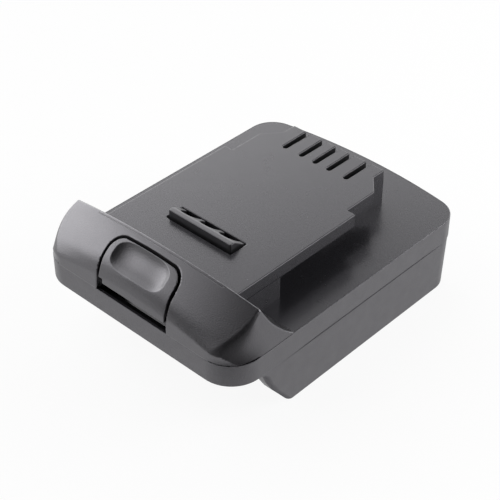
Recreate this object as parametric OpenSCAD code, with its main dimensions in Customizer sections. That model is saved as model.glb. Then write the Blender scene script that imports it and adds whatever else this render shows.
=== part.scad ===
// Slide-on battery adapter: a T-rail plate for the tool on top, a socket for the donor pack below.
// Millimetres, +Z up, origin on the resting face under the middle of the body.

/* [Body] */
// Width across the band
body_w = 80; // [78:0.5:88]
// Origin to the flat front face
front_d = 52.5; // [51:0.5:56]
// Origin to the middle of the bowed rear face
rear_d = 52.5; // [52:0.5:58]
// Radius of the bowed rear face
rear_bow_r = 205; // [150:5:400]
// Plan radius of the two front corners
front_r = 10.5; // [7:0.5:13]
// Plan radius of the two rear corners
rear_r = 9; // [6:0.5:12]
// Height of the band between the cover and the skirt
band_h = 7.5; // [7:0.25:9]
// Wall of the upper mouldings
wall = 2.2; // [1.8:0.1:2.6]
// Thickness of the deck
deck_t = 1.8; // [1.4:0.1:2.2]
// Outer lip of the band that hides the deck's edge
band_lip = 0.9; // [0.6:0.1:1.2]
// Gap between mouldings that locate in each other
fit = 0.15; // [0.1:0.05:0.25]

/* [Hood] */
// Height of the rim above the band, in the middle
hood_h = 17.7; // [16.5:0.1:20]
// Height of the bend in the front above the band
bend_h = 9.3; // [8:0.1:11]
// Set-back of the bend behind the front face
bend_set = 0.9; // [0.5:0.1:1.5]
// Origin to the rim, in the middle
rim_d = 40.5; // [39:0.25:42]
// Radius of the arc from the bend to the rim
hood_arc_r = 32; // [26:0.5:38]
// Radius of the crown across the hood
crown_r = 125; // [95:5:160]
// Inward lean of the two ends for each millimetre of height
side_lean = 0.24; // [0.1:0.02:0.4]
// Rearward lean of the back for each millimetre down
back_lean = 0.66; // [0.5:0.02:0.8]
// Run of the chamfer where the back meets the deck
hood_toe = 2; // [1:0.25:3]

/* [Tool plate] */
// Height of the plate above the deck
plate_h = 11.5; // [10.5:0.25:13]
// Width over the two lips
lip_w = 53.4; // [51:0.2:58]
// Thickness of a lip
lip_t = 4.5; // [3.5:0.1:5]
// Width of the plate behind the lips
neck_w = 47; // [44:0.2:48.5]
// Y where the solid front stop of the lips ends
stop_y = -18.9; // [-22.5:0.2:-12.5]
// Y where the lips end
lip_end_y = 13.7; // [7.5:0.2:19.5]
// Y where the corner chamfers start
nose_y = 26.3; // [23.5:0.2:28.5]
// Width of the nose behind the chamfers, and of the core that carries the plate
nose_w = 37; // [34:0.2:40]
// Length of the corner chamfers along Y
nose_run = 6; // [4:0.2:7]
// Y of the plate's rear face
plate_end_y = 36.7; // [35.5:0.2:40.5]

/* [Contact slots] */
// Pitch of the three middle slots
slot_pitch = 5.6; // [5:0.1:6]
// Pitch from a middle slot to an outer one
slot_pitch_out = 6.8; // [6:0.1:7.2]
// Width of a slot
slot_w = 1.8; // [1.4:0.1:2.2]
// Y of the slots' closed front ends
slot_y = 25.5; // [24.5:0.2:27.5]
// Depth of the slots in the rear face
slot_depth = 8; // [6:0.2:8.6]

/* [Latch] */
// Width of the window for the latch
window_w = 26; // [22:0.2:30]
// Y of the window's front edge
window_front_y = -25.1; // [-27.5:0.2:-23.5]
// Length of the window along Y
window_l = 6.7; // [6:0.1:8]
// Gap between the latch and its window
latch_gap = 0.5; // [0.35:0.05:0.7]
// Height of the latch above the plate
latch_rise = 2.7; // [2:0.1:2.8]
// Flat strip along the top of the latch
latch_top = 1.8; // [1.2:0.1:2.4]
// Ribs on the latch's ramp
latch_ribs = 4; // [3:1:6]
// Width of a rib
latch_rib_w = 1.6; // [1.2:0.1:2]

/* [Release button] */
// Width of the opening in the hood
opening_w = 28.4; // [24:0.2:32]
// Distance from the opening to the rim
opening_edge = 2.3; // [1.8:0.1:3]
// Radius of the opening's rear corners
opening_r = 5; // [3:0.5:7]
// Gap round the button
button_gap = 0.7; // [0.5:0.05:0.9]
// Travel of the button and the latch
travel = 2.8; // [2.8:0.1:3.2]
// Clearance left under the button at full travel
travel_rest = 0.3; // [0.2:0.05:0.5]
// Half width of the finger recess between its round ends
recess_half = 6; // [4:0.2:8]
// Radius of the finger recess
recess_r = 9; // [7:0.2:10]
// Depth of the finger recess
recess_depth = 1.5; // [0.8:0.1:1.6]
// Direction of the finger recess above the horizontal
recess_tilt = 50; // [46:1:56]
// Thickness of the web that carries the latch
web_t = 2; // [1.6:0.1:2.4]
// Width of that web
web_w = 25; // [22:0.2:26]

/* [Guides and springs] */
// X of the two guide posts
post_x = 9; // [8:0.2:9.6]
// Y of the two guide posts
post_y = -31.5; // [-32.5:0.2:-29.5]
// Diameter of a guide post
post_d = 4; // [3:0.1:4.4]
// Radial clearance of a guide post in its bore
guide_gap = 0.3; // [0.25:0.05:0.4]
// Wire of a spring
spring_wire = 0.7; // [0.5:0.05:0.8]
// Mean diameter of a spring
spring_d = 6; // [5.8:0.1:6.4]
// Turns of a spring
spring_turns = 6; // [4:1:7]

/* [Dock] */
// Height of the skirt below the band
skirt_h = 18.5; // [17:0.5:22]
// Set-back of the skirt from the band
skirt_inset = 0.3; // [0.2:0.1:1.2]
// Inward lean of the skirt for each millimetre down
skirt_lean = 0.03; // [0:0.01:0.09]
// Wall of the skirt
skirt_wall = 4.7; // [3.9:0.1:5.3]
// Thickness of the socket's ceiling
dock_t = 2.2; // [1.8:0.1:2.6]
// Inner width between the two rails
rail_gap = 61; // [58:0.2:63]
// Thickness of a rail
rail_t = 4; // [3:0.1:5]
// Y of the skirt's front end at the bottom
skirt_foot_y = -28.5; // [-34.5:0.5:-20.5]
// Y of the skirt's front end under its fillet
skirt_top_y = -38.5; // [-40.5:0.5:-36.5]
// Length of the fillet that carries the skirt's front
skirt_fillet = 4.6; // [3:0.2:6]
// Width of the pocket for the donor pack's own latch
catch_w = 18; // [12:0.5:24]
// Length of that pocket along Y
catch_l = 5.2; // [4.6:0.1:6]
// Y of that pocket's front edge
catch_y = -49.5; // [-49.9:0.1:-47.5]
// Thickness of the band's front floor
floor_t = 2; // [1.6:0.1:2.4]

/* [Electrics] */
// Width of the circuit board
board_w = 31; // [29:0.2:34]
// Y of the board's front edge
board_front_y = -8.5; // [-12.5:0.5:-6.5]
// Y of the board's rear edge
board_rear_y = 35; // [34.5:0.1:37.5]
// Thickness of the board
board_t = 1.6; // [1:0.1:2]
// Height of the board above the ceiling
board_up = 3.5; // [3.2:0.1:4]
// Sheet thickness of a female clip
clip_t = 0.5; // [0.3:0.05:0.6]
// Gap in a clip before a blade enters
clip_gap = 0.6; // [0.4:0.05:0.8]
// Height of a clip
clip_h = 5.6; // [4:0.2:6]
// Width of the terminal block
block_w = 35; // [34:0.5:40]
// Length of the terminal block along Y
block_l = 11; // [10:0.5:13]
// Depth of the terminal block below the ceiling
block_h = 9; // [8:0.2:10]
// Y of the terminal block's front face
block_y = 26.5; // [24.5:0.5:27.5]
// X of the power blades
power_x = 12; // [11:0.2:13]
// X of the signal blades
signal_x = 4; // [3:0.2:5]
// Thickness of a blade
blade_t = 0.8; // [0.6:0.1:1]
// Height of a blade
blade_h = 5.5; // [4.5:0.1:6]
// Free length of a blade
blade_l = 13; // [10:0.5:15]
// Diameter of the power leads
lead_d = 2.4; // [1.8:0.1:2.6]

/* [Fasteners] */
// Shank diameter of the housing screws
screw_d = 2.9; // [2.5:0.1:3]
// Shank length of the housing screws
screw_l = 6; // [5:0.1:6.2]
// Head diameter of the housing screws
head_d = 5.4; // [5:0.1:5.8]
// Head height of the housing screws
head_h = 2; // [1.6:0.1:2.2]
// Shank diameter of the small screws
small_d = 2; // [1.6:0.1:2.2]
// Head diameter of the small screws
small_head_d = 3.8; // [3.4:0.1:4]
// X of the four dock screws
screw_x = 28; // [27:0.2:28.4]
// Y of the two front dock screws
screw_front_y = -22.5; // [-24.5:0.5:-16.5]
// Y of the two rear dock screws
screw_rear_y = 41.5; // [39.5:0.2:42.5]
// X of the two hood screws
hood_screw_x = 26; // [24:0.2:28]
// Y of the two hood screws
hood_screw_y = -45.5; // [-46.5:0.2:-44.5]

/* [Hidden] */
$fn = 64;
over = 1; // overshoot of a cut past the face that it opens

// Heights of the stacked mouldings
z_band = skirt_h;
z_part = z_band + band_h;
z_plate = z_part + plate_h;
z_ceiling = z_band - dock_t;
z_cavity = z_plate - wall;
z_deck = z_part - deck_t;
seam = band_lip + fit;

// Plan of the body
half_w = body_w / 2;
front_c = [half_w - front_r, front_r - front_d];
bow_y = rear_d - rear_bow_r;
rear_cx = half_w - rear_r;
rear_c = [rear_cx, bow_y + sqrt(pow(rear_bow_r - rear_r, 2) - pow(rear_cx, 2))];
bow_from = 0.8; // the bow's sector starts inside the body
bow_to = 1.2; // and ends past its arc

// Hood profile: the arc through the bend and the rim, and the axis of the crown
bend_p = [bend_set - front_d, z_part + bend_h];
rim_p = [-rim_d, z_part + hood_h];
chord = rim_p - bend_p;
chord_l = norm(chord);
arc_off = sqrt(pow(hood_arc_r, 2) - pow(chord_l / 2, 2));
arc_c = (bend_p + rim_p) / 2 + arc_off * [chord[1], -chord[0]] / chord_l;
crown_z = z_part + hood_h - crown_r;
crown_over = 2; // degrees that the crowned body runs past the sides
crown_half = asin(half_w / (crown_r - hood_h)) + crown_over;
lean_l = norm([1, back_lean]);
side_l = norm([1, side_lean]);
hood_back = 20; // the crowned body runs this far behind the rim before the back cuts it
plate_front_y = -rim_d + back_lean * (hood_h - plate_h) - wall / 2;
floor_lap = 1.5; // overlap of the band's floor on the dock
floor_rear_y = skirt_top_y + floor_lap;

// Release mechanism
drop = travel + travel_rest;
stop_gap = 0.3;
web_up = 0.1; // web above the button's lower edge
web_tail = 0.4; // web behind the window
web_z = z_part + drop + web_up;
web_rear_y = window_front_y + window_l + web_tail;
flange_t = 1.2; // wall behind the band that closes the gap below the button
flange_lap = 1;
flange_y = wall + fit + stop_gap - front_d;
guide_wall = 1.7;
guide_up = 2;
guide_d = post_d + 2 * guide_gap;
guide_boss_d = guide_d + 2 * guide_wall;
guide_h = web_t + guide_up;
post_gap = 0.8;
post_top = z_cavity - post_gap;
stop_size = [3, 4];
stop_side = 1; // gap between a stop rib and a guide boss
stop_x = post_x - guide_boss_d / 2 - stop_size[0] / 2 - stop_side;
stop_y_mid = (post_y + window_front_y) / 2;
peg_d = 3;
peg_inset = 5;
peg_x = window_w / 2 - peg_inset;
peg_gap = 0.05;
latch_front_y = window_front_y + latch_gap;
latch_l = window_l - 2 * latch_gap;
latch_w = window_w - 2 * latch_gap;
latch_floor = -1.2; // bottom of the ramp's pockets, measured up from the plate
spring_play = 0.2; // gap between a spring and the web
spring_h = web_z - z_band - spring_play;

// Seats of the housing screws
head_gap = 0.3;
head_recess = head_h + head_gap;
seat_t = 2.2;
pad_wall = 1.6;
boss_wall = 1.8;
pad_d = head_d + 2 * pad_wall;
boss_d = screw_d + 2 * boss_wall;
pilot_gap = 0.05;
pilot_end = 0.3;
hole_gap = 0.2;
dock_pad_z = z_ceiling + head_recess + seat_t;
floor_pad_z = z_band + head_recess + seat_t;
dock_screws = [for (sx = [-1, 1], y = [screw_front_y, screw_rear_y]) [sx * screw_x, y]];
floor_screws = [for (sx = [-1, 1]) [sx * hood_screw_x, hood_screw_y]];

// Board, clips, blades and leads
z_board = z_band + board_up;
z_board_top = z_board + board_t;
board_edge = 3;
board_mid_back = 7;
board_mid_y = block_y - board_mid_back;
board_posts = [[board_edge - board_w / 2, board_front_y + board_edge],
    [board_w / 2 - board_edge, board_front_y + board_edge], [0, board_mid_y]];
board_post_d = 5;
small_head_h = 1.4;
small_l = 3;
slot_xs = [-slot_pitch - slot_pitch_out, -slot_pitch, 0, slot_pitch, slot_pitch + slot_pitch_out];
carrier_wall = 1.6;
clip_mouth = 2.1;
clip_top_gap = 0.4;
clip_front_in = 1.4;
clip_rear_in = 0.8;
clip_flare = 2.6;
carrier_front_y = slot_y - clip_front_in - carrier_wall;
carrier_rear_y = plate_end_y - wall - fit;
carrier_w = nose_w - 2 * wall - 2 * fit;
clip_w = 2 * clip_t + clip_mouth;
clip_seat = z_cavity - clip_h - clip_top_gap;
clip_front_y = slot_y - clip_front_in;
clip_rear_y = carrier_rear_y - clip_rear_in;
clip_pinch_y = clip_rear_y - clip_flare;
pocket_w = clip_w + 2 * fit;
tail_w = 1.6;
tail_l = 0.9;
tail_below = 0.6;
blade_xs = [-power_x, -signal_x, signal_x, power_x];
blade_z = z_ceiling - block_h / 2 - blade_h / 2;
blade_tail_l = 3;
blade_tail_in = 4.5;
blade_tail_y = block_y + blade_tail_in;
blade_tail_gap = 0.7; // gap between a power blade's tail and the board
power_tail_z = z_board - blade_tail_gap;
lead_up = 0.3;
lead_z = z_band + lead_d / 2 + lead_up;
lead_rise_y = board_front_y + 4 * board_edge;
lead_bend_r = 3;
lead_hole_gap = 0.1;
block_screw_in = 2.6;
block_screw_x = block_w / 2 - block_screw_in;
block_screw_y = block_y + block_l - block_screw_in;
block_screw_l = 5;
switch_w = 6.5;
switch_l = 6;
switch_h = 2.3;
chip_w = 5;
chip_l = 4;
chip_h = 1.5;
resistor_d = 2.2;
resistor_l = 6;
can_d = 6.3;
can_h = 7;
drive_part = 0.9; // screw drive's width as a part of the shank
skirt_half = half_w - skirt_inset;
skirt_draft = skirt_lean * z_band;
skirt_foot_x = skirt_half - skirt_draft;
skirt_bow = rear_bow_r - skirt_inset;
foot_edge = 0.4; // thickness of the fillet's front edge
fillet_drop = 2.6;

module slab(z0, z1) {
    translate([0, 0, z0]) linear_extrude(z1 - z0) children();
}

// Extrudes a profile of (Y, Z) points along X, centred
module along_x(length) {
    rotate([90, 0, 90]) linear_extrude(length, center = true) children();
}

// Extrudes a profile of (X, Z) points along Y, centred
module along_y(length) {
    rotate([90, 0, 0]) linear_extrude(length, center = true) children();
}

module block(x, y, z) {
    translate([x[0], y[0], z[0]]) cube([x[1] - x[0], y[1] - y[0], z[1] - z[0]]);
}

// A block that spans the middle plane
module bar(width, y, z) {
    block([-width / 2, width / 2], y, z);
}

module pin(at, d, z0, z1) {
    translate([at[0], at[1], z0]) cylinder(d = d, h = z1 - z0);
}

module both_sides() {
    children();
    mirror([1, 0, 0]) children();
}

// Point on the line from the bow's centre through the centre of a rear corner
function bow_ray(side, part) = [side * part * rear_c[0], bow_y + part * (rear_c[1] - bow_y)];

// Plan of the body, drawn in by inset
module outline(inset = 0) {
    translate([inset - half_w, front_c[1]])
        square([body_w - 2 * inset, rear_c[1] - front_c[1]]);
    translate([-front_c[0], inset - front_d])
        square([2 * front_c[0], front_d - inset]);
    for (sx = [-1, 1]) {
        translate([sx * front_c[0], front_c[1]]) circle(r = front_r - inset);
        translate([sx * rear_c[0], rear_c[1]]) circle(r = rear_r - inset);
    }
    intersection() {
        translate([0, bow_y]) circle(r = rear_bow_r - inset, $fn = 256);
        polygon([bow_ray(-1, bow_from), bow_ray(1, bow_from), bow_ray(1, bow_to), bow_ray(-1, bow_to)]);
    }
}

// Hood profile in (Y, Z), drawn in by inset
module hood_profile(inset) {
    back_y = hood_back - rim_d;
    low_z = z_part - 2 * deck_t;
    intersection() {
        polygon([[inset - front_d, low_z], [inset - front_d, z_part],
            [inset + bend_p[0], bend_p[1]],
            [inset + bend_p[0] + bend_set, bend_p[1] + bend_h],
            [back_y, bend_p[1] + bend_h], [back_y, low_z]]);
        union() {
            translate(arc_c) circle(r = hood_arc_r - inset);
            translate([arc_c[0], low_z])
                square([back_y - arc_c[0], arc_c[1] + hood_arc_r - inset - low_z]);
            translate([-front_d, low_z])
                square([back_y + front_d, max(arc_c[1], z_part) - low_z]);
        }
    }
}

// The crowned hood as one solid from low_z up, drawn in by inset
module hood_solid(inset = 0, low_z = z_part) {
    top_z = z_part + hood_h + over;
    side_in = inset * side_l;
    back_in = inset * lean_l;
    back_top = -rim_d - back_lean * over - back_in;
    back_low = -rim_d + back_lean * (hood_h - hood_toe) - back_in;
    intersection() {
        translate([0, 0, crown_z]) rotate([90, 0, 0]) rotate([0, 0, 90 - crown_half])
            rotate_extrude(angle = 2 * crown_half)
                translate([-crown_z, 0]) rotate(-90) hood_profile(inset);
        slab(low_z, top_z) outline(inset);
        along_x(body_w + over)
            polygon([[-front_d - over, low_z], [-front_d - over, top_z], [back_top, top_z],
                [back_low, z_part + hood_toe], [back_low + 2 * hood_toe, z_part],
                [back_low + 2 * hood_toe, low_z]]);
        along_y(4 * front_d)
            polygon([[side_in - half_w, low_z], [side_in - half_w, z_part],
                [side_in - half_w + side_lean * (top_z - z_part), top_z],
                [half_w - side_in - side_lean * (top_z - z_part), top_z],
                [half_w - side_in, z_part], [half_w - side_in, low_z]]);
    }
}

// Plan of the button's opening, drawn in by inset
module opening_plan(inset = 0) {
    rear_y = -rim_d - opening_edge - inset;
    r = opening_r - inset;
    half = opening_w / 2 - inset;
    translate([-half, -front_d - over]) square([2 * half, rear_y - r + front_d + over]);
    translate([r - half, rear_y - 2 * r]) square([2 * (half - r), 2 * r]);
    for (sx = [-1, 1]) translate([sx * (half - r), rear_y - r]) circle(r = r);
}

// Plan of the tool plate behind its lips
module plate_plan() {
    neck = neck_w / 2;
    nose = nose_w / 2;
    polygon([[-neck, plate_front_y], [-neck, nose_y], [-nose, nose_y + nose_run], [-nose, plate_end_y],
        [nose, plate_end_y], [nose, nose_y + nose_run], [neck, nose_y], [neck, plate_front_y]]);
}

// Core that carries the plate, drawn in by inset
module plate_core(inset, z1) {
    bar(nose_w - 2 * inset, [plate_front_y - 2 * inset, plate_end_y - inset], [z_deck - inset, z1]);
}

module screw_boss(at, z0, z1) {
    pin(at, boss_d, z0, z1);
}

module screw_pilot(at, seat_z) {
    pin(at, screw_d + 2 * pilot_gap, seat_z - over, seat_z - seat_t + screw_l + pilot_end);
}

// Recess for a screw's head, with the hole for its shank
module screw_seat(at, face_z) {
    pin(at, head_d + 2 * head_gap, face_z - over, face_z + head_recess);
    pin(at, screw_d + 2 * hole_gap, face_z, face_z + head_recess + seat_t + over);
}

module top_cover() {
    color("dimgray") difference() {
        union() {
            difference() {
                union() {
                    hood_solid();
                    slab(z_deck, z_part) outline(seam);
                    plate_core(0, z_plate);
                    slab(z_plate - lip_t, z_plate) plate_plan();
                    bar(lip_w, [plate_front_y, stop_y], [z_deck, z_plate]);
                    bar(lip_w, [plate_front_y, lip_end_y], [z_plate - lip_t, z_plate]);
                }
                hood_solid(wall, z_deck - over);
                plate_core(wall, z_cavity);
                bar(neck_w - 2 * wall, [plate_front_y - 2 * wall, stop_y - wall], [z_deck - over, z_cavity]);
            }
            for (at = dock_screws) screw_boss(at, dock_pad_z, z_part - deck_t / 2);
            intersection() {
                for (at = floor_screws) screw_boss(at, floor_pad_z, z_part + hood_h);
                hood_solid(wall / 2);
            }
            for (at = floor_screws) screw_boss(at, floor_pad_z, z_part);
            both_sides() block([stop_x - stop_size[0] / 2, stop_x + stop_size[0] / 2],
                [stop_y_mid - stop_size[1] / 2, stop_y_mid + stop_size[1] / 2],
                [web_z + web_t + stop_gap, z_plate - wall / 2]);
        }
        for (x = slot_xs) {
            block([x - slot_w / 2, x + slot_w / 2], [slot_y + slot_w / 2, plate_end_y + over],
                [z_plate - slot_depth, z_plate + over]);
            pin([x, slot_y + slot_w / 2], slot_w, z_cavity - over, z_plate + over);
        }
        bar(window_w, [window_front_y, window_front_y + window_l], [z_cavity - over, z_plate + over]);
        slab(z_part - 2 * deck_t, z_part + 2 * hood_h) opening_plan();
        for (at = dock_screws) screw_pilot(at, dock_pad_z);
        for (at = floor_screws) screw_pilot(at, floor_pad_z);
    }
}

module mid_frame() {
    color("#3c3c3e") difference() {
        union() {
            slab(z_band, z_part) difference() {
                outline();
                outline(band_lip);
            }
            slab(z_band, z_deck) difference() {
                outline();
                outline(wall);
            }
            slab(z_band, z_band + floor_t) intersection() {
                outline(wall / 2);
                translate([-half_w, -front_d]) square([body_w, front_d + floor_rear_y]);
            }
            for (at = floor_screws) pin(at, pad_d, z_band, floor_pad_z);
        }
        for (at = floor_screws) screw_seat(at, z_band);
        bar(catch_w, [catch_y, catch_y + catch_l], [z_band - over, z_band + floor_t + over]);
    }
}

// Side profile of the dock in (Y, Z)
module dock_profile() {
    end_y = rear_d + over;
    polygon([[end_y, 0], [end_y, z_band], [skirt_top_y - skirt_fillet, z_band],
        [skirt_top_y - skirt_fillet, z_band - foot_edge], [skirt_top_y, z_band - fillet_drop],
        [skirt_foot_y, 0]]);
}

// Outer form of the skirt, leaning in towards its foot
module skirt_solid() {
    front_y = -front_d;
    translate([0, (front_y + rear_c[1]) / 2, 0]) along_y(rear_c[1] - front_y)
        polygon([[skirt_foot_x, 0], [skirt_half, z_band], [-skirt_half, z_band], [-skirt_foot_x, 0]]);
    for (sx = [-1, 1]) translate([sx * rear_c[0], rear_c[1], 0])
        cylinder(r1 = rear_r - skirt_inset - skirt_draft, r2 = rear_r - skirt_inset, h = z_band);
    intersection() {
        translate([0, bow_y, 0])
            cylinder(r1 = skirt_bow - skirt_draft, r2 = skirt_bow, h = z_band, $fn = 256);
        slab(0, z_band)
            polygon([bow_ray(-1, bow_from), bow_ray(1, bow_from), bow_ray(1, bow_to), bow_ray(-1, bow_to)]);
    }
}

module dock() {
    inner = skirt_inset + skirt_wall;
    color("#353537") difference() {
        union() {
            difference() {
                intersection() {
                    skirt_solid();
                    along_x(body_w) dock_profile();
                }
                slab(rail_t, z_ceiling) outline(inner);
                slab(-over, z_ceiling) intersection() {
                    outline(inner);
                    translate([-rail_gap / 2, -front_d]) square([rail_gap, front_d + rear_d]);
                }
            }
            for (at = dock_screws) pin(at, pad_d, z_ceiling, dock_pad_z);
            for (at = board_posts) pin(at, board_post_d, z_ceiling, z_board);
            both_sides() pin([post_x, post_y], post_d, z_ceiling, post_top);
        }
        for (at = dock_screws) screw_seat(at, z_ceiling);
        for (at = board_posts)
            pin(at, small_d + 2 * pilot_gap, z_board - small_l - pilot_end, z_board + over);
        for (x = blade_xs) tail_slot(x, z_ceiling - over, z_band + over);
        for (sx = [-1, 1]) pin([sx * block_screw_x, block_screw_y], small_d + 2 * hole_gap,
            z_ceiling - over, z_band + over);
    }
}

// Clearance for a blade's tail
module tail_slot(x, z0, z1) {
    block([x - blade_t / 2 - fit, x + blade_t / 2 + fit],
        [blade_tail_y - blade_tail_l / 2 - fit, blade_tail_y + blade_tail_l / 2 + fit], [z0, z1]);
}

module release_button() {
    color("dimgray") difference() {
        union() {
            difference() {
                intersection() {
                    hood_solid();
                    slab(z_part + drop, z_part + 2 * hood_h) opening_plan(button_gap);
                }
                hood_solid(wall);
            }
            bar(web_w, [bend_p[0] + wall / 2, web_rear_y], [web_z, web_z + web_t]);
            intersection() {
                hood_solid(wall / 2);
                both_sides() block([web_w / 2 - 2 * web_t, web_w / 2 - web_t],
                    [-front_d, -rim_d - opening_edge - wall], [web_z, z_part + hood_h]);
            }
            both_sides() pin([post_x, post_y], guide_boss_d, web_z, web_z + guide_h);
            bar(opening_w - 2 * button_gap, [flange_y, flange_y + flange_t],
                [z_part - flange_lap, web_z + web_t]);
        }
        both_sides() pin([post_x, post_y], guide_d, web_z - over, web_z + guide_h + over);
        both_sides() pin([peg_x, latch_front_y + latch_l / 2], peg_d + 2 * peg_gap,
            web_z - over, web_z + web_t + over);
        finger_recess();
    }
}

// Dished recess for the finger: a round-ended bar sunk into the arc of the hood
module finger_recess() {
    axis = arc_c + (hood_arc_r + recess_r - recess_depth) * [-cos(recess_tilt), sin(recess_tilt)];
    translate([0, axis[0], axis[1]]) {
        rotate([0, 90, 0]) cylinder(r = recess_r, h = 2 * recess_half, center = true);
        for (sx = [-1, 1]) translate([sx * recess_half, 0, 0]) sphere(r = recess_r);
    }
}

module latch_bar() {
    top = z_plate + latch_rise;
    rear_y = latch_front_y + latch_l;
    pocket_pitch = (latch_w - latch_rib_w) / (latch_ribs - 1);
    color("#1c1c1e") {
        difference() {
            along_x(latch_w)
                polygon([[latch_front_y, web_z + web_t], [latch_front_y, top],
                    [latch_front_y + latch_top, top], [rear_y, z_plate], [rear_y, web_z + web_t]]);
            for (i = [0 : latch_ribs - 2]) {
                x0 = -latch_w / 2 + latch_rib_w + i * pocket_pitch;
                block([x0, x0 + pocket_pitch - latch_rib_w], [latch_front_y + latch_top, rear_y + over],
                    [z_plate + latch_floor, top + over]);
            }
        }
        both_sides() pin([peg_x, latch_front_y + latch_l / 2], peg_d, web_z, web_z + web_t);
    }
}

// Points of one ring of a tube round a helix, at a given angle
function coil_ring(turn, sides) =
    let (a = 360 * turn,
         rise = (spring_h - spring_wire) / spring_turns,
         slope = atan2(rise, PI * spring_d),
         c = [spring_d / 2 * cos(a), spring_d / 2 * sin(a), spring_wire / 2 + rise * turn],
         out = [cos(a), sin(a), 0],
         up = [sin(a) * sin(slope), -cos(a) * sin(slope), cos(slope)])
    [for (k = [0 : sides - 1])
        c + spring_wire / 2 * (cos(360 * k / sides) * out + sin(360 * k / sides) * up)];

// A compression spring as one unbroken helical tube
module coil_spring() {
    sides = 6;
    steps = 8 * spring_turns;
    rings = [for (i = [0 : steps]) coil_ring(i * spring_turns / steps, sides)];
    points = [for (ring = rings, p = ring) p];
    last = steps * sides;
    walls = [for (i = [0 : steps - 1], k = [0 : sides - 1], half = [0, 1])
        let (a = i * sides + k, b = i * sides + (k + 1) % sides)
        half == 0 ? [a, a + sides, b] : [b, a + sides, b + sides]];
    start = [for (k = [1 : sides - 2]) [0, k, k + 1]];
    end = [for (k = [1 : sides - 2]) [last, last + k + 1, last + k]];
    pitch = (spring_h - spring_wire) / spring_turns;
    echo(str("spring gap at rest ", pitch - spring_wire, ", pressed ",
        (spring_h - travel - spring_wire) / spring_turns - spring_wire));
    polyhedron(points, concat(walls, start, end));
}

module latch_spring_left() {
    color("silver") translate([-post_x, post_y, z_band]) coil_spring();
}

module latch_spring_right() {
    color("silver") translate([post_x, post_y, z_band]) coil_spring();
}

module contact_carrier() {
    top = z_cavity - fit;
    color("#2a2a2c") difference() {
        bar(carrier_w, [carrier_front_y, carrier_rear_y], [z_board_top, top]);
        for (x = slot_xs) {
            block([x - pocket_w / 2, x + pocket_w / 2], [clip_front_y - fit, carrier_rear_y + over],
                [clip_seat, top + over]);
            clip_tail_hole(x, z_board_top - over, clip_seat + over);
        }
    }
}

// Clearance for a clip's tail
module clip_tail_hole(x, z0, z1) {
    block([x - tail_w / 2 - fit, x + tail_w / 2 + fit],
        [clip_front_y - fit, clip_front_y + tail_l + fit], [z0, z1]);
}

// Female clip: two leaves from one base, pinched before the rear end and flared at it
module clip(x) {
    outer = clip_w / 2;
    flare = outer - clip_t;
    pinch = clip_gap / 2;
    leaf = [[0, clip_front_y], [outer, clip_front_y], [outer, clip_front_y + 2 * clip_t],
        [pinch + clip_t, clip_pinch_y], [outer, clip_rear_y], [flare, clip_rear_y],
        [pinch, clip_pinch_y], [flare, clip_front_y + 3 * clip_t], [flare / 2, clip_front_y + tail_l],
        [0, clip_front_y + tail_l]];
    translate([x, 0, 0]) {
        both_sides() slab(clip_seat + fit, clip_seat + clip_h) polygon(leaf);
        bar(tail_w, [clip_front_y, clip_front_y + tail_l], [z_board - tail_below, clip_seat + 2 * fit]);
    }
}

module clip_negative() {
    color("goldenrod") clip(slot_xs[0]);
}

module clip_signal_left() {
    color("goldenrod") clip(slot_xs[1]);
}

module clip_signal_middle() {
    color("goldenrod") clip(slot_xs[2]);
}

module clip_signal_right() {
    color("goldenrod") clip(slot_xs[3]);
}

module clip_positive() {
    color("goldenrod") clip(slot_xs[4]);
}

module circuit_board() {
    color("seagreen") difference() {
        bar(board_w, [board_front_y, board_rear_y], [z_board, z_board_top]);
        for (at = board_posts) pin(at, small_d + 2 * hole_gap, z_board - over, z_board_top + over);
        for (x = slot_xs) clip_tail_hole(x, z_board - over, z_board_top + over);
        for (x = [-signal_x, signal_x]) tail_slot(x, z_board - over, z_board_top + over);
        for (sx = [-1, 1]) pin([sx * power_x, lead_rise_y], lead_d + 2 * lead_hole_gap,
            z_board - over, z_board_top + over);
    }
}

module power_switch() {
    color("#202022") translate([board_edge, lead_rise_y, z_board_top])
        cube([switch_w, switch_l, switch_h]);
}

module control_chip() {
    color("#202022") translate([-chip_w / 2, board_front_y + board_edge, z_board_top])
        cube([chip_w, chip_l, chip_h]);
}

module id_resistor() {
    color("tan") translate([0, board_mid_y - resistor_l, z_board_top + resistor_d / 2])
        rotate([0, 90, 0]) cylinder(d = resistor_d, h = resistor_l, center = true);
}

module capacitor() {
    color("#303a50") translate([-board_edge - can_d / 2, lead_rise_y + can_d / 2, z_board_top])
        cylinder(d = can_d, h = can_h);
}

// Blade of the donor side in (Y, Z): a flat tongue with a tail that rises through the ceiling
module blade(x, tail_z) {
    y0 = block_y - blade_l;
    tail = [blade_tail_y - blade_tail_l / 2, blade_tail_y + blade_tail_l / 2];
    color("gold") translate([x, 0, 0]) along_x(blade_t)
        polygon([[y0, blade_z + blade_t], [y0 + blade_t, blade_z], [tail[1], blade_z],
            [tail[1], tail_z], [tail[0], tail_z], [tail[0], blade_z + blade_h],
            [y0 + blade_t, blade_z + blade_h], [y0, blade_z + blade_h - blade_t]]);
}

module blade_negative() {
    blade(-power_x, power_tail_z);
}

module blade_signal_left() {
    blade(-signal_x, z_board_top);
}

module blade_signal_right() {
    blade(signal_x, z_board_top);
}

module blade_positive() {
    blade(power_x, power_tail_z);
}

module terminal_block() {
    color("#28282a") difference() {
        bar(block_w, [block_y, block_y + block_l], [z_ceiling - block_h, z_ceiling]);
        for (x = blade_xs)
            block([x - blade_t / 2 - fit, x + blade_t / 2 + fit],
                [block_y - over, blade_tail_y + blade_tail_l / 2 + fit],
                [blade_z - fit, z_ceiling + over]);
        for (sx = [-1, 1]) pin([sx * block_screw_x, block_screw_y], small_d + 2 * pilot_gap,
            z_band - block_screw_l - pilot_end, z_ceiling + over);
    }
}

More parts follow.
